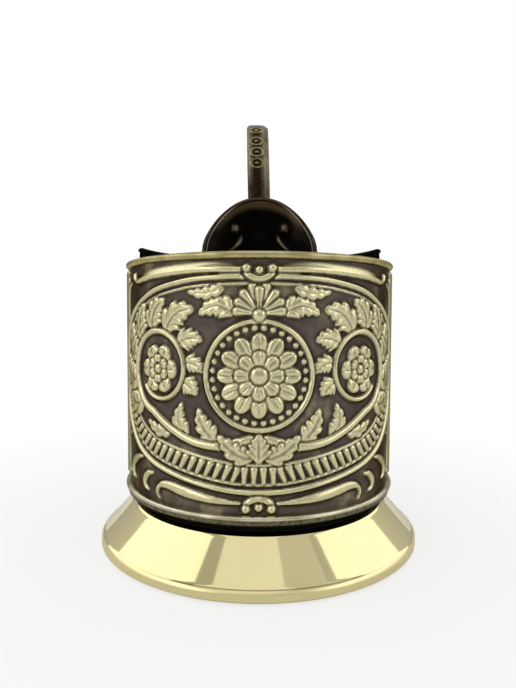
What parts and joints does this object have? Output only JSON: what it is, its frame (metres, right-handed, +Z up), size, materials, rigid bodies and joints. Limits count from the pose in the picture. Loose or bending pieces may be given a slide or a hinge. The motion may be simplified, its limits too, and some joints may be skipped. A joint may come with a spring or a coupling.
{
  "type": "tea glass holder",
  "caption": "Tea glass holder: a round brass sleeve with raised ornament, a taller crested back and an ear-shaped handle, on a flared polished foot.",
  "frame": {"origin": "on the axis of the glass well, at the surface that the foot stands on", "axes": "+Z up along the glass well; the handle is at +Y and the decorated front faces -Y"},
  "size_m": [0.086, 0.1213, 0.129],
  "materials": {
    "aged_brass": "dark patina, satin",
    "relief_brass": "rubbed bright over dark patina",
    "bead_brass": "half polished",
    "edge_brass": "dark patina, semi-gloss",
    "pan_brass": "rough, dark",
    "neck_black": "matte black",
    "foot_brass": "mirror polish",
    "cast_brass": "cast, dark patina with rubbed edges",
    "rivet_brass": "satin",
    "screw_brass": "turned, satin"
  },
  "bodies": {
    "root": {"sleeve": "aged_brass", "front_rim_bead": "bead_brass", "rear_edge_bead": "edge_brass", "lower_bead": "bead_brass", "cartouche_frame": "relief_brass", "panel_ornament": "relief_brass", "rear_ornament": "relief_brass", "floor_pan": "pan_brass", "neck_ring": "neck_black", "base_skirt": "foot_brass", "clamp_screw": "screw_brass", "clamp_washer": "screw_brass", "clamp_nut": "screw_brass", "handle_bow": "cast_brass", "upper_saddle": "cast_brass", "lower_saddle": "cast_brass", "upper_rivets": "rivet_brass", "lower_rivets": "rivet_brass"}
  },
  "joints": []
}
